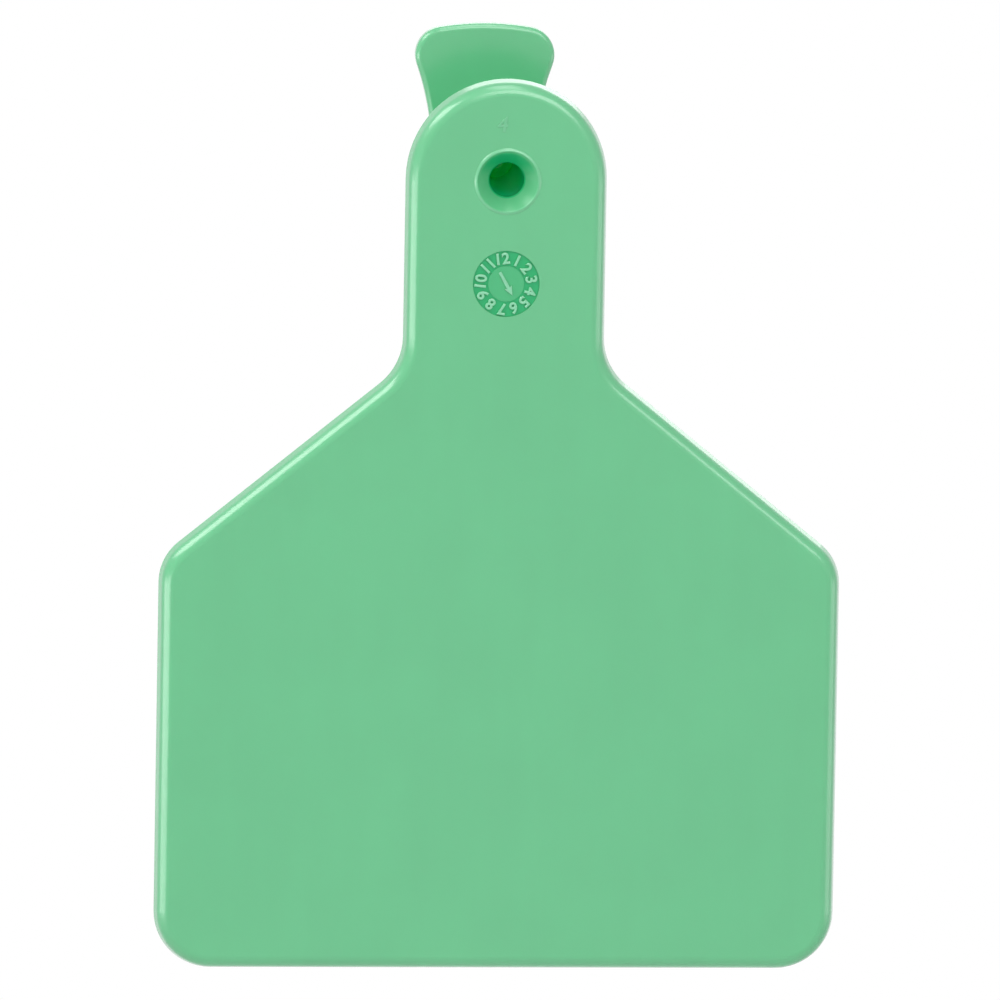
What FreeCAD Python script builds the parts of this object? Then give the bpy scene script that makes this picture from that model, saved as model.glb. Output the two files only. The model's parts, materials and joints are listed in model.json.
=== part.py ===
import FreeCAD, Part
import math
import os

# Livestock ear tag, moulded in one piece: panel, neck, hollow stud and anchor head.
# X is to the viewer's right, Y runs from the printed front to the back, Z is up as it hangs.
# The origin is on the stud's axis, in the back face of the neck that lies against the ear.

# panel and neck outline, taken at the back edge where the moulding is widest
PANEL_WIDTH = 76.34
NECK_WIDTH = 22.6
STUD_HEIGHT = 89.2       # bottom edge of the panel to the stud's axis
SIDE_HEIGHT = 46.45      # bottom edge to the corner where the side turns in
NECK_FOOT_HEIGHT = 68.2  # bottom edge to the corner where the slope meets the neck
PANEL_CORNER_R = 6.5
SHOULDER_R = 5.8
NECK_FOOT_R = 6.7
PLATE_THICKNESS = 2.6
WALL_DRAFT = 12.0        # degrees; the edge wall widens from the front to the back
FRONT_EDGE_R = 1.4
BACK_EDGE_R = 0.3

# hollow stud that passes through the ear
EAR_GAP = 12.0           # back of the neck to the front of the head
STUD_ROOT_D = 8.0
STUD_TIP_D = 6.2
STUD_ROOT_FILLET = 1.2
STUD_TIP_FILLET = 0.45
BORE_D = 3.9             # takes the applicator's pin
BORE_END_CHAMFER = 0.9
COUNTERSINK_ANGLE = 40.0  # degrees from the axis
COUNTERSINK_FLAT = 1.35  # radial width of the cone
BEAD_WIDTH = 0.7         # raised lip around the mouth
BEAD_HEIGHT = 0.15
BEAD_OVERLAP = 0.25      # the cone trims this much off the inside of the lip

# anchor head: a fishtail plate that stands up behind the ear
HEAD_WIDTH = 15.6
HEAD_RISE = 15.7         # stud's axis to the crown
HEEL_R = 5.7
HEAD_CORNER_R = 3.2
CROWN_R = 30.0
HEAD_ROOT_THICKNESS = 3.0
HEAD_TIP_THICKNESS = 1.8
HEAD_EDGE_R = 0.6
HEAD_OFFSET = 1.5        # the soft head sits a little to the left of the stud
BOSS_D = 7.0             # dome that closes the bore behind the head
BOSS_HEIGHT = 2.4
BOSS_EDGE_R = 1.8
BORE_END_WALL = 2.2      # solid left behind the bore

# date dial: the flat print of a round insert in the mould
DIAL_D = 7.45
DIAL_DROP = 11.5         # stud's axis to the dial's centre
DIAL_RING_DEPTH = 0.18
DIAL_HUB_D = 4.0
DIAL_HUB_DEPTH = 0.10

FRONT_Y = -PLATE_THICKNESS
OVERSHOOT = 1.0          # how far the cutters stand clear of the faces they cut


def point(x, y, z):
    return FreeCAD.Vector(x, y, z)


def line_cross(a, b):
    """Crossing of two lines, each a point (x, z) and a direction (x, z)."""
    (ax, az), (au, av) = a
    (bx, bz), (bu, bv) = b
    t = ((bx - ax) * bv - (bz - az) * bu) / (au * bv - av * bu)
    return (ax + t * au, az + t * av)


def shifted(start, end, inset):
    """The line from start to end moved to its left by inset."""
    u, v = end[0] - start[0], end[1] - start[1]
    size = math.hypot(u, v)
    u, v = u / size, v / size
    return ((start[0] - v * inset, start[1] + u * inset), (u, v))


def rounded_corner(before, corner, after, radius, y):
    """Ends and middle of the arc that rounds one corner of the outline."""
    ways = []
    for other in (before, after):
        u, v = other[0] - corner[0], other[1] - corner[1]
        size = math.hypot(u, v)
        ways.append((u / size, v / size))
    (au, av), (bu, bv) = ways
    half = math.acos(au * bu + av * bv) / 2.0
    run = radius / math.tan(half)
    mu, mv = au + bu, av + bv
    size = math.hypot(mu, mv)
    far = radius / math.sin(half) - radius
    return (point(corner[0] + au * run, y, corner[1] + av * run),
            point(corner[0] + mu / size * far, y, corner[1] + mv / size * far),
            point(corner[0] + bu * run, y, corner[1] + bv * run))


def plate_wire(inset, y):
    """Outline of the panel and neck, drawn inside the widest one by inset."""
    base = -STUD_HEIGHT
    half_panel, half_neck = PANEL_WIDTH / 2.0, NECK_WIDTH / 2.0
    right = [(0.0, base), (half_panel, base), (half_panel, base + SIDE_HEIGHT),
             (half_neck, base + NECK_FOOT_HEIGHT), (half_neck, 0.0)]
    lines = [shifted(right[i], right[i + 1], inset) for i in range(4)]
    bottom = (0.0, base + inset)
    corners = [line_cross(lines[i], lines[i + 1]) for i in range(3)]
    top = (half_neck - inset, 0.0)
    radii = (PANEL_CORNER_R - inset, SHOULDER_R - inset, NECK_FOOT_R + inset)
    path = [bottom] + corners + [top]
    edges = []
    here = point(bottom[0], y, bottom[1])
    for i, radius in enumerate(radii, start=1):
        start, middle, end = rounded_corner(path[i - 1], path[i], path[i + 1], radius, y)
        edges.append(Part.makeLine(here, start))
        edges.append(Part.Arc(start, middle, end).toShape())
        here = end
    edges.append(Part.makeLine(here, point(top[0], y, 0.0)))
    mirrored = [edge.mirror(point(0, 0, 0), point(1, 0, 0)) for edge in edges]
    crown = Part.Arc(point(top[0], y, 0.0), point(0.0, y, top[0]), point(-top[0], y, 0.0))
    return Part.Wire(Part.__sortEdges__(edges + [crown.toShape()] + mirrored))


def flat_edges(shape, y):
    """Edges that lie wholly in the plane at y."""
    return [e for e in shape.Edges if max(abs(v.Y - y) for v in e.Vertexes) < 1e-6
            and abs(e.CenterOfMass.y - y) < 1e-6]


def build_plate():
    """Panel and neck: drafted wall, softly rounded at the front and broken at the back."""
    inset = PLATE_THICKNESS * math.tan(math.radians(WALL_DRAFT))
    wires = [plate_wire(inset, FRONT_Y), plate_wire(0.0, 0.0)]
    plate = Part.makeLoft(wires, True, True)
    plate = plate.makeFillet(FRONT_EDGE_R, flat_edges(plate, FRONT_Y))
    return plate.makeFillet(BACK_EDGE_R, flat_edges(plate, 0.0))


def turned(edges):
    """Solid of revolution about the stud's axis from a closed profile in the XY plane."""
    face = Part.Face(Part.Wire(edges))
    return face.revolve(point(0, 0, 0), point(0, 1, 0), 360.0)


def polygon(points):
    return [Part.makeLine(a, b) for a, b in zip(points, points[1:])]


def build_stud():
    """Tapered stud with a curved root on the neck and another under the head."""
    root, tip = STUD_ROOT_D / 2.0, STUD_TIP_D / 2.0
    slope = math.atan2(root - tip, EAR_GAP)
    a0, a1 = STUD_ROOT_FILLET, STUD_TIP_FILLET

    def wall(y):
        return root - (root - tip) * y / EAR_GAP

    def fillet(y_face, size, outward):
        # quarter-like arc between a flat face and the tapered wall
        y_end = y_face + outward * size
        start = point(wall(y_face) + size, y_face, 0)
        end = point(wall(y_end), y_end, 0)
        turn = math.pi / 4.0 + outward * slope / 2.0
        centre = (start.x, y_end)
        reach = centre[0] - end.x
        middle = point(centre[0] - reach * math.sin(turn), centre[1] - outward * size * math.cos(turn), 0)
        return start, middle, end

    n0, n1, n2 = fillet(0.0, a0, 1.0)
    h0, h1, h2 = fillet(EAR_GAP, a1, -1.0)
    front = point(n0.x, -PLATE_THICKNESS / 2.0, 0)
    back = point(h0.x, EAR_GAP + HEAD_ROOT_THICKNESS / 2.0, 0)
    edges = [Part.makeLine(point(0, front.y, 0), front), Part.makeLine(front, n0),
             Part.Arc(n0, n1, n2).toShape(), Part.makeLine(n2, h2), Part.Arc(h2, h1, h0).toShape(),
             Part.makeLine(h0, back), Part.makeLine(back, point(0, back.y, 0)),
             Part.makeLine(point(0, back.y, 0), point(0, front.y, 0))]
    return turned(edges)


def head_wire(y):
    """Fishtail outline: round heel, flared sides, soft corners and a low crown."""
    crown_z = HEAD_RISE - CROWN_R
    cx = HEAD_WIDTH / 2.0 - HEAD_CORNER_R
    cz = crown_z + math.sqrt((CROWN_R - HEAD_CORNER_R) ** 2 - cx ** 2)
    a = HEEL_R - cx
    flare = (a ** 2 + cz ** 2 - HEAD_CORNER_R ** 2) / (2.0 * (HEAD_CORNER_R - a))
    fx = HEEL_R + flare

    def on(side, centre_x, centre_z, radius, angle):
        x = centre_x + radius * math.cos(angle)
        return point(side * x - HEAD_OFFSET, y, centre_z + radius * math.sin(angle))

    join = math.atan2(cz, cx - fx)                    # flare to corner, seen from the flare's centre
    top = math.atan2(cz - crown_z, cx)                # corner to crown, seen from the crown's centre
    low = math.atan2(-cz, fx - cx)                    # flare to corner, seen from the corner's centre
    edges = []
    for side in (1.0, -1.0):
        s = on(side, fx, 0.0, flare, math.pi)
        m = on(side, fx, 0.0, flare, (math.pi + join) / 2.0)
        e = on(side, fx, 0.0, flare, join)
        edges.append(Part.Arc(s, m, e).toShape())
        cm = on(side, cx, cz, HEAD_CORNER_R, (low + top) / 2.0)
        ce = on(side, cx, cz, HEAD_CORNER_R, top)
        edges.append(Part.Arc(e, cm, ce).toShape())
    crown_end = [on(side, 0.0, crown_z, CROWN_R, top) for side in (1.0, -1.0)]
    edges.append(Part.Arc(crown_end[0], on(1.0, 0.0, crown_z, CROWN_R, math.pi / 2.0), crown_end[1]).toShape())
    heel = (on(1.0, 0, 0, HEEL_R, 0.0), on(1.0, 0, 0, HEEL_R, -math.pi / 2.0), on(-1.0, 0, 0, HEEL_R, 0.0))
    edges.append(Part.Arc(*heel).toShape())
    return Part.Wire(Part.__sortEdges__(edges))


def build_head():
    """Anchor plate, thinning from heel to crown, with every outline edge rounded."""
    blank = Part.Face(head_wire(EAR_GAP)).extrude(point(0, HEAD_ROOT_THICKNESS + OVERSHOOT, 0))
    low, high = -HEEL_R - OVERSHOOT, HEAD_RISE + OVERSHOOT
    thinning = (HEAD_ROOT_THICKNESS - HEAD_TIP_THICKNESS) / (HEEL_R + HEAD_RISE)
    thick_low = HEAD_ROOT_THICKNESS + thinning * OVERSHOOT
    thick_high = HEAD_TIP_THICKNESS - thinning * OVERSHOOT
    x0 = -HEAD_WIDTH
    front = EAR_GAP
    corners = [point(x0, front, low), point(x0, front + thick_low, low),
               point(x0, front + thick_high, high), point(x0, front, high), point(x0, front, low)]
    wedge = Part.Face(Part.Wire(polygon(corners))).extrude(point(2.0 * HEAD_WIDTH, 0, 0))
    head = blank.common(wedge)
    rims = [e for e in head.Edges if all(v.Y > EAR_GAP + 1e-6 for v in e.Vertexes)]
    return head.makeFillet(HEAD_EDGE_R, flat_edges(head, EAR_GAP) + rims)


def boss_end():
    return EAR_GAP + HEAD_ROOT_THICKNESS + BOSS_HEIGHT


def build_boss():
    """Dome behind the head that the applicator's pin pushes against."""
    r, end, e = BOSS_D / 2.0, boss_end(), BOSS_EDGE_R
    start = EAR_GAP + HEAD_TIP_THICKNESS / 2.0
    k = e * (1.0 - math.sqrt(0.5))
    arc = Part.Arc(point(r, end - e, 0), point(r - k, end - k, 0), point(r - e, end, 0))
    edges = [Part.makeLine(point(0, start, 0), point(r, start, 0)),
             Part.makeLine(point(r, start, 0), point(r, end - e, 0)), arc.toShape(),
             Part.makeLine(point(r - e, end, 0), point(0, end, 0)),
             Part.makeLine(point(0, end, 0), point(0, start, 0))]
    return turned(edges)


def mouth_radius():
    return BORE_D / 2.0 + COUNTERSINK_FLAT


def build_bead():
    """Raised lip around the mouth of the bore."""
    inner = mouth_radius() - BEAD_OVERLAP
    outer = inner + BEAD_WIDTH
    root = FRONT_Y + BEAD_HEIGHT
    a, b = point(inner, FRONT_Y, 0), point(outer, FRONT_Y, 0)
    crest = Part.Arc(a, point((inner + outer) / 2.0, FRONT_Y - BEAD_HEIGHT, 0), b)
    c, d = point(outer, root, 0), point(inner, root, 0)
    return turned([crest.toShape(), Part.makeLine(b, c), Part.makeLine(c, d), Part.makeLine(d, a)])


def build_bore():
    """Cutter for the countersunk blind bore."""
    r, cone = BORE_D / 2.0, math.radians(COUNTERSINK_ANGLE)
    seat = FRONT_Y + COUNTERSINK_FLAT / math.tan(cone)
    out = FRONT_Y - OVERSHOOT
    wide = mouth_radius() + OVERSHOOT * math.tan(cone)
    end = boss_end() - BORE_END_WALL
    e = BORE_END_CHAMFER
    edges = polygon([point(0, out, 0), point(wide, out, 0), point(r, seat, 0), point(r, end - e, 0),
                     point(r - e, end, 0), point(0, end, 0), point(0, out, 0)])
    return turned(edges)


def build_dial():
    """Cutter for the round print of the date insert: a ring, and a shallower hub."""
    centre = point(0, FRONT_Y - OVERSHOOT, -DIAL_DROP)
    along = point(0, 1, 0)
    deep, shallow = OVERSHOOT + DIAL_RING_DEPTH, OVERSHOOT + DIAL_HUB_DEPTH
    ring = Part.makeCylinder(DIAL_D / 2.0, deep, centre, along)
    hub = Part.makeCylinder(DIAL_HUB_D / 2.0, deep, centre, along)
    cap = Part.makeCylinder(DIAL_HUB_D / 2.0, shallow, centre, along)
    return ring.cut(hub).fuse(cap)


def build_tag():
    body = build_plate().fuse([build_stud(), build_head(), build_boss(), build_bead()])
    body = body.cut(build_bore()).cut(build_dial())
    return body.removeSplitter()


def main():
    os.makedirs("parts", exist_ok=True)
    tag = build_tag()
    solids = tag.Solids
    if len(solids) != 1 or not tag.isValid():
        raise RuntimeError("the tag must come out as one valid solid")
    shape = solids[0]
    box = shape.BoundBox
    print("size %.2f x %.2f x %.2f" % (box.XLength, box.YLength, box.ZLength))
    print("volume %.1f mm3, %d faces" % (shape.Volume, len(shape.Faces)))
    shape.exportStep("parts/ear_tag.step")


main()
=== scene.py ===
import json
import math

import bmesh
import bpy
from bpy.props import FloatProperty, FloatVectorProperty
from mathutils import Matrix, Vector

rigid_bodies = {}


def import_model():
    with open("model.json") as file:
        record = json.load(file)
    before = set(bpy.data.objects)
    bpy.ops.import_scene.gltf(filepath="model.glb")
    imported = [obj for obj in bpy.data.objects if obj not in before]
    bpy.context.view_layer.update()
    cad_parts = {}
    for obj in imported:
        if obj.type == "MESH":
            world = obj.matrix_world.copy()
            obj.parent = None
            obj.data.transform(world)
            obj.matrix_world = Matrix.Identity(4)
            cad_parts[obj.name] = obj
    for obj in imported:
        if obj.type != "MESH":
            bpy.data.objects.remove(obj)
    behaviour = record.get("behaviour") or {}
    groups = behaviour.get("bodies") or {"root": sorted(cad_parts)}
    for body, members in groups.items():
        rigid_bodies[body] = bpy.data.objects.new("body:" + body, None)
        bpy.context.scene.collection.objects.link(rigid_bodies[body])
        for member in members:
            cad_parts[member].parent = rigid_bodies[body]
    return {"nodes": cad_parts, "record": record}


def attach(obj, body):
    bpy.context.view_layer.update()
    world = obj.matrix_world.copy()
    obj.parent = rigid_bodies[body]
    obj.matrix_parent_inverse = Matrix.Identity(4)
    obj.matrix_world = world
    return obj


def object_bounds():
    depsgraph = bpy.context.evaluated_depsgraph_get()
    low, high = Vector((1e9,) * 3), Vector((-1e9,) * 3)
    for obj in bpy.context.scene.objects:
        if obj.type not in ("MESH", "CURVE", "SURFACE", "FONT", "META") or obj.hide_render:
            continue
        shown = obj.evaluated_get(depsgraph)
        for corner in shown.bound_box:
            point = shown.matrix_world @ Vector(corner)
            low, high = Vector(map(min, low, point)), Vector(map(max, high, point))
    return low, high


bl_info = {
    "name": "Livestock Ear Tag",
    "version": (1, 0, 0),
    "blender": (4, 5, 0),
    "location": "View3D > Sidebar > Ear Tag",
    "description": "Builds a one-piece livestock ear tag on its packed CAD body",
    "category": "Add Mesh",
}

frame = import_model()
CAD_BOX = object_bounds()
MM = 0.001

# front face of the plate, at the mount that the record puts on it
FRONT_Y = next(m["pos_m"][1] for m in frame["record"]["mounts"] if m["name"] == "front_panel")

MONTHS = 12
ONE_FIGURE_MONTHS = 9
FONT_CAP_HEIGHT = 0.73    # height of a figure, as a share of the font's size
FIGURE_BREAK = 0.08 * MM  # softening of a figure's upper edges
BREAK_SHARE = 0.4         # most of a low figure's relief that the softening may take
ARROW_BREAK = 0.045 * MM
SHAFT_SWELL = 1.15        # width of the arrow's shaft at the head, over that at its tail

# each mask has no share at the first value and its whole share at the second
PROUD_FADE = (-0.005 * MM, -0.05 * MM)
SUNK_FADE = (0.01 * MM, 0.17 * MM)
FRONT_SKIN_FADE = (2.2 * MM, 1.8 * MM)
# the painted shade of the countersink's upper half, in depth behind the front face and in height above the
# stud's axis
SHADE_DEPTH_FADE = (-0.02 * MM, 0.35 * MM)
SHADE_HEIGHT_FADE = (0.2 * MM, 2.2 * MM)
DIAL_EDGE_FADE = (0.08 * MM, 0.0)
SINK_EDGE_FADE = (0.25 * MM, 0.0)
BORE_EDGE_FADE = (0.2 * MM, 0.08 * MM)
BORE_MOUTH_FADE = (0.9 * MM, 1.6 * MM)
BORE_DEEP_FADE = (1.7 * MM, 3.5 * MM)
BORE_END_FADE = (0.6 * MM, 0.2 * MM)
NOISE_FADE = (0.3, 0.7)
FACE_HIGHLIGHT_SHARE = 0.22         # share of the painted highlight on raised marks outside the dial, over that inside it
STREAK_SHARE = 0.35

SENSOR_WIDTH = 36.0
CAMERA_REACH = 50.0
FLOOR_HALF_WIDTH = 6.0
LIGHT_AIM = (0.0, 0.0, -0.04)

# name, place, size and power of the soft lights; the strips stand where the rims' gloss mirrors them
LIGHTS = (
    ("Left strip", (-1.0, -0.5, -0.2), (1.3, 0.24), 3.8),
    ("Upper left strip", (-0.72, -0.3, 0.68), (0.85, 0.35), 4.6),
    ("Top strip", (0.05, -0.3, 1.05), (0.35, 0.85), 2.6),
    ("Right strip", (1.0, -0.35, -0.2), (0.85, 0.24), 1.0),
    ("Front fill", (0.5, -1.45, 0.9), (1.4, 0.9), 13.0),
    ("Back fill", (0.3, 1.6, 0.8), (1.4, 0.9), 7.0),
)


# ---------------------------------------------------------------- settings

class EarTagSettings(bpy.types.PropertyGroup):
    """Sizes and colours of the tag's moulded surface and its small marks, with the colours of its painted
    highlight, shades and glow
    """

    tag_colour: FloatVectorProperty(
        name="Tag Colour", description="Colour of the outer skin", subtype="COLOR",
        size=3, min=0.0, max=1.0, default=(0.100, 0.500, 0.222))
    # painted glow: a lighter green deep in the bore, standing in for light let through its walls
    bore_colour: FloatVectorProperty(
        name="Bore Glow Colour", description="Colour of the unbloomed compound deep in the bore", subtype="COLOR",
        size=3, min=0.0, max=1.0, default=(0.006, 0.78, 0.48))
    # painted shade: a darker, purer green on the countersink's upper half and on the bore's wall
    sink_colour: FloatVectorProperty(
        name="Countersink Shade Colour", description="Colour of the countersink's upper half and the bore's mouth",
        subtype="COLOR", size=3, min=0.0, max=1.0, default=(0.004, 0.45, 0.155))
    # painted highlight: a lighter green on the lip and on the raised marks
    crest_colour: FloatVectorProperty(
        name="Highlight Colour", description="Colour of the lip and of raised marks, where bloom gathers",
        subtype="COLOR", size=3, min=0.0, max=1.0, default=(0.21, 0.63, 0.36))
    # painted shade: a darker, purer green on the sunk ring of the date dial
    print_colour: FloatVectorProperty(
        name="Ring Shade Colour", description="Colour of the polished floor of the date dial", subtype="COLOR",
        size=3, min=0.0, max=1.0, default=(0.010, 0.43, 0.150))
    dial_drop: FloatProperty(
        name="Dial Drop", description="Distance from the stud's axis down to the date dial's centre",
        default=11.5 * MM, unit="LENGTH", subtype="DISTANCE")
    dial_radius: FloatProperty(
        name="Dial Radius", description="Radius of the date dial's sunk print",
        default=3.7 * MM, unit="LENGTH", subtype="DISTANCE")
    dial_floor: FloatProperty(
        name="Dial Floor", description="Depth of the sunk ring below the front face",
        default=0.18 * MM, unit="LENGTH", subtype="DISTANCE")
    hub_floor: FloatProperty(
        name="Hub Floor", description="Depth of the hub below the front face",
        default=0.10 * MM, unit="LENGTH", subtype="DISTANCE")
    number_circle: FloatProperty(
        name="Number Circle", description="Radius of the circle on which the month numbers stand",
        default=2.86 * MM, unit="LENGTH", subtype="DISTANCE")
    number_height: FloatProperty(
        name="Number Height", description="Height of a month number",
        default=1.28 * MM, unit="LENGTH", subtype="DISTANCE")
    number_thinning: FloatProperty(
        name="Number Thinning", description="How far each side of a month number's strokes is drawn in",
        default=0.015 * MM, unit="LENGTH", subtype="DISTANCE")
    number_relief: FloatProperty(
        name="Number Relief", description="How far the numbers stand up from the floor of the ring",
        default=0.24 * MM, unit="LENGTH", subtype="DISTANCE")
    number_start: FloatProperty(
        name="First Number", description="Clockwise angle from the top to the number one",
        default=math.radians(25.0), unit="ROTATION", subtype="ANGLE")
    two_figure_room: FloatProperty(
        name="Two-Figure Room", description="Extra angle that a number of two figures takes",
        default=math.radians(10.4), unit="ROTATION", subtype="ANGLE")
    arrow_turn: FloatProperty(
        name="Arrow Turn", description="Clockwise angle from the top to the arrow's point",
        default=math.radians(151.0), unit="ROTATION", subtype="ANGLE")
    arrow_length: FloatProperty(
        name="Arrow Length", description="From the arrow's tail to its point",
        default=3.0 * MM, unit="LENGTH", subtype="DISTANCE")
    shaft_width: FloatProperty(
        name="Arrow Shaft Width", description="Width of the arrow's shaft at its tail",
        default=0.34 * MM, unit="LENGTH", subtype="DISTANCE")
    barb_width: FloatProperty(
        name="Arrow Head Width", description="Width of the arrow's head across its barbs",
        default=0.92 * MM, unit="LENGTH", subtype="DISTANCE")
    barb_sweep: FloatProperty(
        name="Arrow Barb Sweep", description="How far the barbs reach back past the end of the shaft",
        default=0.12 * MM, unit="LENGTH", subtype="DISTANCE")
    head_length: FloatProperty(
        name="Arrow Head Length", description="From the end of the arrow's shaft to its point",
        default=0.95 * MM, unit="LENGTH", subtype="DISTANCE")
    bore_radius: FloatProperty(
        name="Bore Radius", description="Radius of the bore that takes the applicator's pin",
        default=1.95 * MM, unit="LENGTH", subtype="DISTANCE")
    bore_reach: FloatProperty(
        name="Bore Reach", description="From the neck's back face to the blind end of the bore",
        default=15.2 * MM, unit="LENGTH", subtype="DISTANCE")
    # out to this radius the countersink gets its painted shade
    sink_radius: FloatProperty(
        name="Countersink Radius", description="Radius within which the countersink keeps its pure colour",
        default=3.15 * MM, unit="LENGTH", subtype="DISTANCE")
    cavity_rise: FloatProperty(
        name="Cavity Number Rise", description="Distance from the stud's axis up to the cavity number",
        default=6.42 * MM, unit="LENGTH", subtype="DISTANCE")
    cavity_shift: FloatProperty(
        name="Cavity Number Shift", description="Distance of the cavity number to the left of the middle",
        default=0.7 * MM, unit="LENGTH", subtype="DISTANCE")
    cavity_height: FloatProperty(
        name="Cavity Number Height", description="Height of the cavity number",
        default=1.75 * MM, unit="LENGTH", subtype="DISTANCE")
    cavity_relief: FloatProperty(
        name="Cavity Number Relief", description="How far the cavity number stands up from the front face",
        default=0.08 * MM, unit="LENGTH", subtype="DISTANCE")
    cavity_slant: FloatProperty(
        name="Cavity Number Slant", description="Sideways lean of the cavity number over its height",
        default=0.15, subtype="FACTOR")


class StudioSettings(bpy.types.PropertyGroup):
    """Camera and floor of the plain studio"""

    azimuth: FloatProperty(
        name="Azimuth", description="Camera's turn to the left of the front", default=math.radians(5.0),
        unit="ROTATION", subtype="ANGLE")
    elevation: FloatProperty(
        name="Elevation", description="Camera's height above the front, as an angle",
        default=math.radians(9.0), unit="ROTATION", subtype="ANGLE")
    roll: FloatProperty(
        name="Roll", description="Camera's roll about its own axis", default=math.radians(1.0),
        unit="ROTATION", subtype="ANGLE")
    distance: FloatProperty(
        name="Distance", description="From the camera to the point it looks at", default=2.5,
        unit="LENGTH", subtype="DISTANCE")
    focal_length: FloatProperty(
        name="Focal Length", description="Lens of the camera", default=808.1, unit="CAMERA")
    target: FloatVectorProperty(
        name="Target", description="Point that the camera looks at", size=3, unit="LENGTH",
        subtype="TRANSLATION", default=(-0.00027, -0.0026, -0.03583))
    floor_drop: FloatProperty(
        name="Floor Drop", description="From the panel's lower edge down to the floor", default=0.30,
        unit="LENGTH", subtype="DISTANCE")


# ---------------------------------------------------------------- materials

def new_material(name):
    material = bpy.data.materials.new(name)
    material.use_nodes = True
    tree = material.node_tree
    tree.nodes.clear()
    return material, tree


def add_node(tree, kind, values=None, **settings):
    node = tree.nodes.new(kind)
    for key, value in settings.items():
        setattr(node, key, value)
    for key, value in (values or {}).items():
        node.inputs[key].default_value = value
    return node


def fade(tree, source, start, distances):
    """Smooth step: 0 where the source is the first distance past the start, 1 where it is the second."""
    first, second = distances
    node = add_node(tree, "ShaderNodeMapRange", {"From Min": start + first, "From Max": start + second},
                    interpolation_type="SMOOTHSTEP")
    tree.links.new(source, node.inputs["Value"])
    return node.outputs["Result"]


def span(tree, source, low, high):
    """Straight line from low where the source is 0 to high where it is 1."""
    node = add_node(tree, "ShaderNodeMapRange", {"To Min": low, "To Max": high})
    tree.links.new(source, node.inputs["Value"])
    return node.outputs["Result"]


def both(tree, first, second):
    """Product of two shares."""
    node = add_node(tree, "ShaderNodeMath", operation="MULTIPLY", use_clamp=True)
    tree.links.new(first, node.inputs[0])
    tree.links.new(second, node.inputs[1])
    return node.outputs[0]


def mix_colours(tree, factor, first, second):
    """Blend of two colours: each is a socket or a plain colour, and the factor a socket or a number."""
    node = add_node(tree, "ShaderNodeMix", data_type="RGBA")
    for socket, value in ((node.inputs[6], first), (node.inputs[7], second)):
        if isinstance(value, bpy.types.NodeSocket):
            tree.links.new(value, socket)
        else:
            socket.default_value = (*value, 1.0)
    if isinstance(factor, bpy.types.NodeSocket):
        tree.links.new(factor, node.inputs["Factor"])
    else:
        node.inputs["Factor"].default_value = factor
    return node.outputs[2]


def noise(tree, vector, scale, detail):
    node = add_node(tree, "ShaderNodeTexNoise", {"Scale": scale, "Detail": detail})
    tree.links.new(vector, node.inputs["Vector"])
    return node.outputs["Fac"]


def shades(tree, pattern, colour, dark, light):
    """The colour, multiplied by the dark or the light factor where a noise pattern is low or high."""
    darker = tuple(channel * dark for channel in colour)
    lighter = tuple(channel * light for channel in colour)
    return mix_colours(tree, fade(tree, pattern, 0.0, NOISE_FADE), darker, lighter)


def distance_from_axis(tree, split, height):
    """Distance from the line along Y that crosses X = 0 at the given height."""
    shift = add_node(tree, "ShaderNodeMath", {1: height}, operation="SUBTRACT")
    tree.links.new(split.outputs["Z"], shift.inputs[0])
    ring = add_node(tree, "ShaderNodeCombineXYZ")
    tree.links.new(split.outputs["X"], ring.inputs["X"])
    tree.links.new(shift.outputs[0], ring.inputs["Z"])
    radius = add_node(tree, "ShaderNodeVectorMath", operation="LENGTH")
    tree.links.new(ring.outputs[0], radius.inputs[0])
    return radius.outputs["Value"]


def compound_colour(tree, place, skin):
    """Mottle of the compound, with faint streaks that run up and down the panel."""
    cloud = noise(tree, place, scale=90.0, detail=3.0)
    stretch = add_node(tree, "ShaderNodeMapping", {"Scale": (260.0, 260.0, 40.0)})
    tree.links.new(place, stretch.inputs["Vector"])
    streak = noise(tree, stretch.outputs["Vector"], scale=1.0, detail=2.0)
    mottled = shades(tree, cloud, skin, dark=0.975, light=1.02)
    streaked = shades(tree, streak, skin, dark=0.97, light=1.03)
    return mix_colours(tree, STREAK_SHARE, mottled, streaked)


def moulded_relief(tree, place):
    """Normal of the moulded surface: fine grain of the mould on a broad, slight swell."""
    grain = noise(tree, place, scale=2600.0, detail=2.0)
    swell = noise(tree, place, scale=160.0, detail=1.0)
    fine = add_node(tree, "ShaderNodeBump", {"Strength": 0.12, "Distance": 0.04 * MM})
    tree.links.new(grain, fine.inputs["Height"])
    broad = add_node(tree, "ShaderNodeBump", {"Strength": 0.25, "Distance": 0.12 * MM})
    tree.links.new(swell, broad.inputs["Height"])
    tree.links.new(fine.outputs["Normal"], broad.inputs["Normal"])
    return broad.outputs["Normal"]


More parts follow.
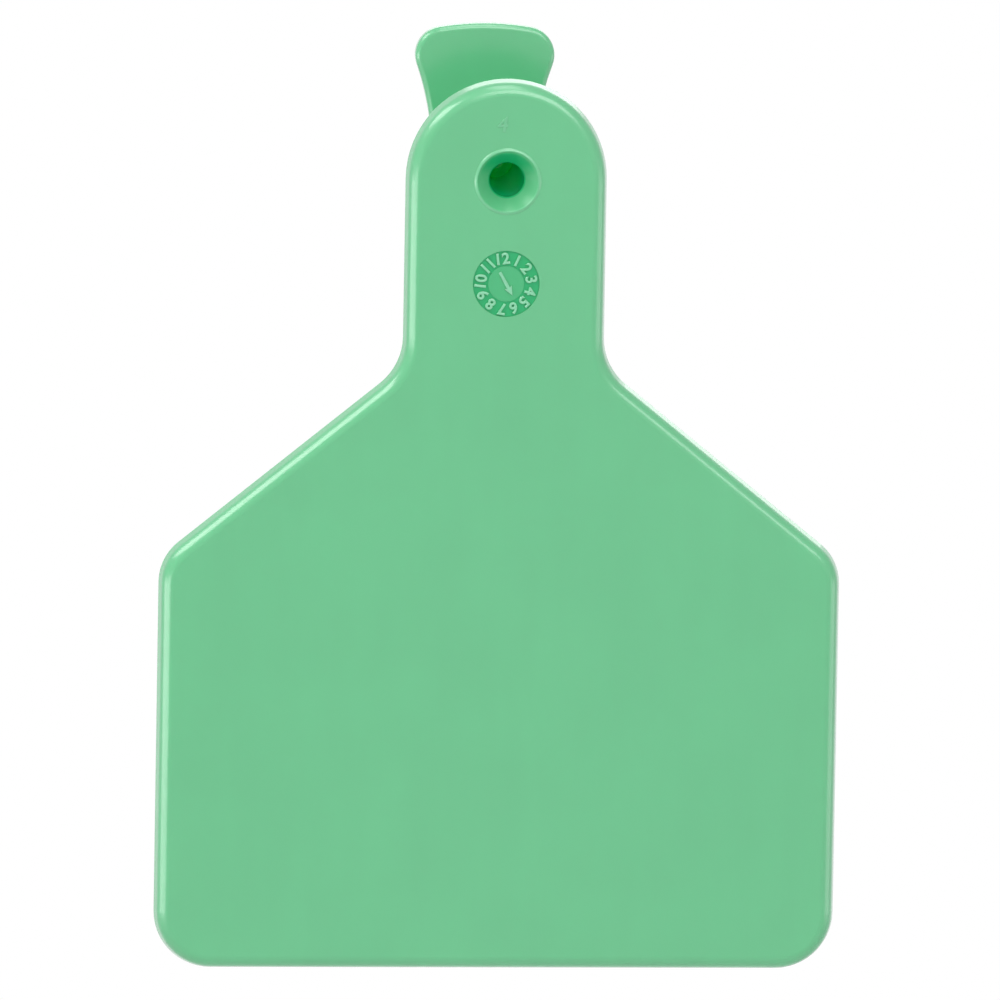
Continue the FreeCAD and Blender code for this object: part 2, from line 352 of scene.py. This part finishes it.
def moulded_polyurethane(name, settings):
    """Satin polyurethane: mottle and flow streaks, a painted highlight on what stands proud, painted shade
    in recesses, a painted glow deep in the bore.
    """
    material, tree = new_material(name)
    link = tree.links.new
    output = add_node(tree, "ShaderNodeOutputMaterial")
    shader = add_node(tree, "ShaderNodeBsdfPrincipled", {
        "IOR": 1.52, "Subsurface Radius": (0.25, 1.0, 0.7), "Coat IOR": 1.6, "Coat Roughness": 0.2})
    link(shader.outputs["BSDF"], output.inputs["Surface"])
    place = add_node(tree, "ShaderNodeTexCoord").outputs["Object"]
    split = add_node(tree, "ShaderNodeSeparateXYZ")
    link(place, split.inputs[0])
    depth, height = split.outputs["Y"], split.outputs["Z"]

    # painted highlight: a lighter colour on the raised marks of the dial, and a little on the lip and the
    # cavity number
    from_dial = distance_from_axis(tree, split, -settings.dial_drop)
    in_dial = fade(tree, from_dial, settings.dial_radius, DIAL_EDGE_FADE)
    painted_highlight = both(tree, fade(tree, depth, FRONT_Y, PROUD_FADE), span(tree, in_dial, FACE_HIGHLIGHT_SHARE, 1.0))

    # painted shade: a darker, purer green on the dial's sunk floor and on the upper half of the countersink
    front_skin = fade(tree, depth, FRONT_Y, FRONT_SKIN_FADE)
    sunk = both(tree, front_skin, fade(tree, depth, FRONT_Y, SUNK_FADE))
    ring_shade_and_thin_coat = both(tree, in_dial, sunk)
    off_axis = distance_from_axis(tree, split, 0.0)
    shaded_upper_half = both(tree, fade(tree, height, 0.0, SHADE_HEIGHT_FADE),
                     fade(tree, depth, FRONT_Y, SHADE_DEPTH_FADE))
    in_sink = fade(tree, off_axis, settings.sink_radius, SINK_EDGE_FADE)
    countersink = both(tree, in_sink, both(tree, shaded_upper_half, front_skin))

    # painted shade on the wall of the bore too; its deep part gets a painted glow, a lighter green, and real
    # subsurface scattering, for it lets light through
    in_bore = fade(tree, off_axis, settings.bore_radius, BORE_EDGE_FADE)
    before_end = fade(tree, depth, settings.bore_reach, BORE_END_FADE)
    bore_wall_shade = both(tree, in_bore, both(tree, before_end, fade(tree, depth, FRONT_Y, BORE_MOUTH_FADE)))
    deep_bore_glow_and_translucency = both(tree, bore_wall_shade, fade(tree, depth, FRONT_Y, BORE_DEEP_FADE))

    colour = compound_colour(tree, place, tuple(settings.tag_colour))
    # over the compound's own colour go the painted highlight, the painted shades and the painted glow
    for share, finish in ((painted_highlight, settings.crest_colour), (ring_shade_and_thin_coat, settings.print_colour),
                          (countersink, settings.sink_colour), (bore_wall_shade, settings.sink_colour),
                          (deep_bore_glow_and_translucency, settings.bore_colour)):
        colour = mix_colours(tree, share, colour, tuple(finish))
    link(colour, shader.inputs["Base Color"])
    for share, socket, outside, inside in ((deep_bore_glow_and_translucency, "Subsurface Weight", 0.15, 0.9),
                                           (deep_bore_glow_and_translucency, "Subsurface Scale", 1.0 * MM, 4.0 * MM),
                                           (ring_shade_and_thin_coat, "Coat Weight", 1.0, 0.2)):
        link(span(tree, share, outside, inside), shader.inputs[socket])

    # satin gloss, a little uneven
    patchy = noise(tree, place, scale=35.0, detail=2.0)
    link(span(tree, patchy, 0.36, 0.44), shader.inputs["Roughness"])
    relief = moulded_relief(tree, place)
    link(relief, shader.inputs["Normal"])
    link(relief, shader.inputs["Coat Normal"])
    return material


def tag_material():
    """The tag's one material, made on first use."""
    found = bpy.data.materials.get("Moulded polyurethane")
    return found or moulded_polyurethane("Moulded polyurethane", bpy.context.scene.ear_tag)


# ---------------------------------------------------------------- pieces

def link_object(obj):
    bpy.context.scene.collection.objects.link(obj)
    return obj


def onto_face(x, z, depth):
    """Turns a drawing in the XY plane to face the front, its base depth below the front face."""
    return Matrix.Translation((x, FRONT_Y + depth, z)) @ Matrix.Rotation(math.pi / 2.0, 4, "X")


def add_piece(name, mesh, turn):
    """Put a finished mesh in place as a piece of the tag."""
    mesh.transform(turn)
    mesh.materials.clear()
    mesh.materials.append(tag_material())
    piece = link_object(bpy.data.objects.new(name, mesh))
    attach(piece, "root")


def raised_text(text, height, relief, slant=0.0, thinning=0.0):
    """Closed mesh of a raised figure with soft upper edges, centred, standing on z = 0."""
    soft = min(FIGURE_BREAK, relief * BREAK_SHARE)
    font = bpy.data.curves.new("Figure " + text, "FONT")
    font.body = text
    font.align_x, font.align_y = "CENTER", "CENTER"
    font.size = height / FONT_CAP_HEIGHT
    font.offset = -thinning
    font.shear = slant
    font.extrude = (relief - soft) / 2.0
    font.bevel_depth = soft
    font.bevel_resolution = 2
    font.resolution_u = 6
    writer = link_object(bpy.data.objects.new("Figure " + text, font))
    graph = bpy.context.evaluated_depsgraph_get()
    mesh = bpy.data.meshes.new_from_object(writer.evaluated_get(graph))
    bpy.data.objects.remove(writer)
    middle = []
    for axis in range(2):
        along = [v.co[axis] for v in mesh.vertices]
        middle.append((min(along) + max(along)) / 2.0)
    mesh.transform(Matrix.Translation((-middle[0], -middle[1], font.extrude)))
    bm = bmesh.new()
    bm.from_mesh(mesh)
    bmesh.ops.remove_doubles(bm, verts=bm.verts, dist=1e-7)
    bmesh.ops.recalc_face_normals(bm, faces=bm.faces)
    for face in bm.faces:
        face.smooth = False
    bm.to_mesh(mesh)
    bm.free()
    return mesh


# ---------------------------------------------------------------- date dial

def dial_tree():
    """Geometry Nodes: stands the numbers of a collection on a circle, two-figure ones with more room."""
    tree = bpy.data.node_groups.new("Month ring", "GeometryNodeTree")
    face = tree.interface
    sockets = {}
    face.new_socket("Geometry", in_out="OUTPUT", socket_type="NodeSocketGeometry")
    for label, kind in (("Numbers", "NodeSocketCollection"), ("Circle Radius", "NodeSocketFloat"),
                        ("First Angle", "NodeSocketFloat"), ("Two-Figure Room", "NodeSocketFloat"),
                        ("Finish", "NodeSocketMaterial")):
        sockets[label] = face.new_socket(label, in_out="INPUT", socket_type=kind).identifier
    link = tree.links.new
    given = add_node(tree, "NodeGroupInput")
    out = add_node(tree, "NodeGroupOutput")

    def maths(operation, first, second=None):
        node = add_node(tree, "ShaderNodeMath", operation=operation)
        for socket, value in zip(node.inputs, (first, second)):
            if isinstance(value, bpy.types.NodeSocket):
                link(value, socket)
            elif value is not None:
                socket.default_value = value
        return node.outputs[0]

    # 10, 11 and 12 stand one room further apart, and 9 and 1 keep half a room from them: three rooms in all,
    # which the twelve steps give up in equal parts
    index = add_node(tree, "GeometryNodeInputIndex").outputs[0]
    room = given.outputs["Two-Figure Room"]
    given_up = maths("MULTIPLY", room, (MONTHS - ONE_FIGURE_MONTHS) / MONTHS)
    step = maths("SUBTRACT", 2.0 * math.pi / MONTHS, given_up)
    wide = maths("MAXIMUM", maths("SUBTRACT", index, ONE_FIGURE_MONTHS - 1.0), 0.0)
    rooms = maths("SUBTRACT", wide, maths("MULTIPLY", maths("MINIMUM", wide, 1.0), 0.5))
    angle = maths("ADD", given.outputs["First Angle"],
                  maths("ADD", maths("MULTIPLY", index, step), maths("MULTIPLY", rooms, room)))
    radius = given.outputs["Circle Radius"]
    spot = add_node(tree, "ShaderNodeCombineXYZ")
    link(maths("MULTIPLY", maths("SINE", angle), radius), spot.inputs["X"])
    link(maths("MULTIPLY", maths("COSINE", angle), radius), spot.inputs["Y"])
    points = add_node(tree, "GeometryNodePoints", {"Count": MONTHS})
    link(spot.outputs[0], points.inputs["Position"])
    turn = add_node(tree, "ShaderNodeCombineXYZ")
    link(maths("MULTIPLY", angle, -1.0), turn.inputs["Z"])
    rotation = add_node(tree, "FunctionNodeEulerToRotation")
    link(turn.outputs[0], rotation.inputs[0])
    numbers = add_node(tree, "GeometryNodeCollectionInfo",
                       {"Separate Children": True, "Reset Children": True})
    link(given.outputs["Numbers"], numbers.inputs["Collection"])
    stand = add_node(tree, "GeometryNodeInstanceOnPoints", {"Pick Instance": True})
    link(points.outputs[0], stand.inputs["Points"])
    link(numbers.outputs[0], stand.inputs["Instance"])
    link(index, stand.inputs["Instance Index"])
    link(rotation.outputs[0], stand.inputs["Rotation"])
    real = add_node(tree, "GeometryNodeRealizeInstances")
    link(stand.outputs[0], real.inputs[0])
    finish = add_node(tree, "GeometryNodeSetMaterial")
    link(real.outputs[0], finish.inputs["Geometry"])
    link(given.outputs["Finish"], finish.inputs["Material"])
    link(finish.outputs[0], out.inputs[0])
    return tree, sockets


def month_ring(settings):
    """Plain mesh of the twelve raised numbers, laid out by the node tree."""
    box = bpy.data.collections.new("Month numbers")
    bpy.context.scene.collection.children.link(box)
    for month in range(1, MONTHS + 1):
        figure = raised_text(str(month), settings.number_height, settings.number_relief,
                             thinning=settings.number_thinning)
        box.objects.link(bpy.data.objects.new("Month %02d" % month, figure))
    tree, sockets = dial_tree()
    holder = link_object(bpy.data.objects.new("Month ring", bpy.data.meshes.new("Month ring")))
    modifier = holder.modifiers.new("Month ring", "NODES")
    modifier.node_group = tree
    for label, value in (("Numbers", box), ("Circle Radius", settings.number_circle),
                         ("First Angle", settings.number_start),
                         ("Two-Figure Room", settings.two_figure_room), ("Finish", tag_material())):
        modifier[sockets[label]] = value
    graph = bpy.context.evaluated_depsgraph_get()
    mesh = bpy.data.meshes.new_from_object(holder.evaluated_get(graph))
    bpy.data.objects.remove(holder)
    for figure in list(box.objects):
        bpy.data.objects.remove(figure)
    bpy.data.collections.remove(box)
    return mesh


def prism(outline, height):
    """Closed prism over an outline in the XY plane, its upper rim softly broken."""
    bm = bmesh.new()
    base = bm.faces.new([bm.verts.new((x, y, 0.0)) for x, y in outline])
    lifted = bmesh.ops.extrude_face_region(bm, geom=[base])["geom"]
    upper = [part for part in lifted if isinstance(part, bmesh.types.BMVert)]
    bmesh.ops.translate(bm, vec=(0, 0, height), verts=upper)
    bmesh.ops.recalc_face_normals(bm, faces=bm.faces)
    rim = [e for e in bm.edges if all(v.co.z > height * 0.5 for v in e.verts)]
    bmesh.ops.bevel(bm, geom=rim, offset=ARROW_BREAK, segments=2, affect="EDGES", profile=0.5)
    mesh = bpy.data.meshes.new("Prism")
    bm.to_mesh(mesh)
    bm.free()
    return mesh


def arrow_outline(settings):
    """Straight shaft with a short barbed head, pointing up, centred on its length."""
    half = settings.arrow_length / 2.0
    tail = settings.shaft_width / 2.0
    collar = tail * SHAFT_SWELL
    barb = settings.barb_width / 2.0
    shaft_end = half - settings.head_length
    barb_end = shaft_end - settings.barb_sweep
    return [(-tail, -half), (tail, -half), (collar, shaft_end), (barb, barb_end),
            (0.0, half), (-barb, barb_end), (-collar, shaft_end)]


# ---------------------------------------------------------------- studio

def mix_by_ray(tree, rays, unseen, seen):
    """Shader that is the seen node's for rays of the given kinds, and the unseen node's for all others."""
    path = add_node(tree, "ShaderNodeLightPath")
    shown = path.outputs[rays[0]]
    for ray in rays[1:]:
        either = add_node(tree, "ShaderNodeMath", operation="MAXIMUM")
        tree.links.new(shown, either.inputs[0])
        tree.links.new(path.outputs[ray], either.inputs[1])
        shown = either.outputs[0]
    mix = add_node(tree, "ShaderNodeMixShader")
    tree.links.new(shown, mix.inputs["Fac"])
    tree.links.new(unseen.outputs[0], mix.inputs[1])
    tree.links.new(seen.outputs[0], mix.inputs[2])
    return mix.outputs[0]


def make_floor(settings):
    """Floor that is seen as pure white and scatters light as pale paint does."""
    low = CAD_BOX[0][2] - settings.floor_drop
    mesh = bpy.data.meshes.new("Studio floor")
    bm = bmesh.new()
    bmesh.ops.create_grid(bm, x_segments=1, y_segments=1, size=FLOOR_HALF_WIDTH)
    bmesh.ops.translate(bm, verts=bm.verts, vec=(0, 0, low))
    bm.to_mesh(mesh)
    bm.free()
    floor = link_object(bpy.data.objects.new("Studio floor", mesh))
    material, tree = new_material("Pale floor")
    paint = add_node(tree, "ShaderNodeBsdfDiffuse", {"Color": (0.8, 0.8, 0.8, 1.0)})
    white = add_node(tree, "ShaderNodeEmission", {"Strength": 1.0})
    output = add_node(tree, "ShaderNodeOutputMaterial")
    surface = mix_by_ray(tree, ("Is Camera Ray", "Is Glossy Ray"), paint, white)
    tree.links.new(surface, output.inputs["Surface"])
    mesh.materials.append(material)


def make_lights():
    """Soft rectangular lights, turned to the middle of the tag."""
    for name, place, size, power in LIGHTS:
        data = bpy.data.lights.new(name, "AREA")
        data.shape = "RECTANGLE"
        data.size, data.size_y = size
        data.energy = power
        light = link_object(bpy.data.objects.new(name, data))
        light.location = place
        direction = Vector(LIGHT_AIM) - Vector(place)
        light.rotation_euler = direction.to_track_quat("-Z", "Y").to_euler()


def make_world(scene):
    """White behind the tag and in its gloss, and a dim even light from all round."""
    world = bpy.data.worlds.new("Studio surround")
    world.use_nodes = True
    tree = world.node_tree
    tree.nodes.clear()
    dim = add_node(tree, "ShaderNodeBackground", {"Color": (1, 1, 1, 1), "Strength": 0.25})
    white = add_node(tree, "ShaderNodeBackground", {"Color": (1, 1, 1, 1), "Strength": 1.0})
    output = add_node(tree, "ShaderNodeOutputWorld")
    surface = mix_by_ray(tree, ("Is Camera Ray", "Is Glossy Ray", "Is Transmission Ray"), dim, white)
    tree.links.new(surface, output.inputs["Surface"])
    scene.world = world


def make_camera(scene, settings):
    """Long lens in front of the tag, a little to the left and above, rolled by a small angle."""
    azimuth, elevation, roll = settings.azimuth, settings.elevation, settings.roll
    back = Vector((-math.sin(azimuth) * math.cos(elevation),
                   -math.cos(azimuth) * math.cos(elevation), math.sin(elevation)))
    across = (-back).cross(Vector((0, 0, 1))).normalized()
    upward = back.cross(across)
    right = across * math.cos(roll) + upward * math.sin(roll)
    top = upward * math.cos(roll) - across * math.sin(roll)
    data = bpy.data.cameras.new("Product camera")
    data.lens = settings.focal_length
    data.sensor_width = SENSOR_WIDTH
    data.clip_end = CAMERA_REACH
    camera = link_object(bpy.data.objects.new("Product camera", data))
    turn = Matrix((right, top, back)).transposed().to_4x4()
    camera.matrix_world = Matrix.Translation(Vector(settings.target) + back * settings.distance) @ turn
    scene.camera = camera


# ---------------------------------------------------------------- operators

class EARTAG_OT_body(bpy.types.Operator):
    """Give the moulded body its polyurethane"""

    bl_idname = "eartag.body"
    bl_label = "Moulded Body"

    def execute(self, context):
        node = frame["nodes"]["ear_tag"]
        node.data.materials.clear()
        node.data.materials.append(tag_material())
        return {"FINISHED"}


class EARTAG_OT_dial(bpy.types.Operator):
    """Raise the month numbers and the arrow of the date dial"""

    bl_idname = "eartag.dial"
    bl_label = "Date Dial"

    def execute(self, context):
        settings = context.scene.ear_tag
        ring = onto_face(0.0, -settings.dial_drop, settings.dial_floor)
        add_piece("month_numbers", month_ring(settings), ring)
        # the arrow stands on the shallower hub and ends level with the numbers
        relief = settings.number_relief - settings.dial_floor + settings.hub_floor
        hub = onto_face(0.0, -settings.dial_drop, settings.hub_floor)
        turn = Matrix.Rotation(-settings.arrow_turn, 4, "Z")
        add_piece("dial_arrow", prism(arrow_outline(settings), relief), hub @ turn)
        return {"FINISHED"}


class EARTAG_OT_cavity(bpy.types.Operator):
    """Raise the mould's cavity number above the bore"""

    bl_idname = "eartag.cavity"
    bl_label = "Cavity Number"

    def execute(self, context):
        settings = context.scene.ear_tag
        figure = raised_text("4", settings.cavity_height, settings.cavity_relief,
                             slant=settings.cavity_slant)
        add_piece("cavity_number", figure, onto_face(-settings.cavity_shift, settings.cavity_rise, 0.0))
        return {"FINISHED"}


class EARTAG_OT_studio(bpy.types.Operator):
    """Set up the floor, the soft lights and the camera"""

    bl_idname = "eartag.studio"
    bl_label = "Studio"

    def execute(self, context):
        scene = context.scene
        settings = scene.ear_tag_studio
        make_floor(settings)
        make_lights()
        make_world(scene)
        make_camera(scene, settings)
        scene.view_settings.view_transform = "Standard"
        return {"FINISHED"}


# ---------------------------------------------------------------- panel in the sidebar

OPERATORS = (EARTAG_OT_body, EARTAG_OT_dial, EARTAG_OT_cavity, EARTAG_OT_studio)


class EARTAG_PT_sidebar(bpy.types.Panel):
    """Settings of the tag and its studio, and a button for each group of pieces"""

    bl_label = "Ear Tag"
    bl_space_type = "VIEW_3D"
    bl_region_type = "UI"
    bl_category = "Ear Tag"

    def draw(self, context):
        for settings in (context.scene.ear_tag, context.scene.ear_tag_studio):
            for name in settings.__annotations__:
                self.layout.prop(settings, name)
        for operator in OPERATORS:
            self.layout.operator(operator.bl_idname)


CLASSES = (EarTagSettings, StudioSettings, *OPERATORS, EARTAG_PT_sidebar)


def register():
    for cls in CLASSES:
        bpy.utils.register_class(cls)
    bpy.types.Scene.ear_tag = bpy.props.PointerProperty(type=EarTagSettings)
    bpy.types.Scene.ear_tag_studio = bpy.props.PointerProperty(type=StudioSettings)


def unregister():
    del bpy.types.Scene.ear_tag_studio
    del bpy.types.Scene.ear_tag
    for cls in reversed(CLASSES):
        bpy.utils.unregister_class(cls)


def main():
    register()
    for operator in OPERATORS:
        group, name = operator.bl_idname.split(".")
        getattr(getattr(bpy.ops, group), name)()


if __name__ == "__main__":
    main()
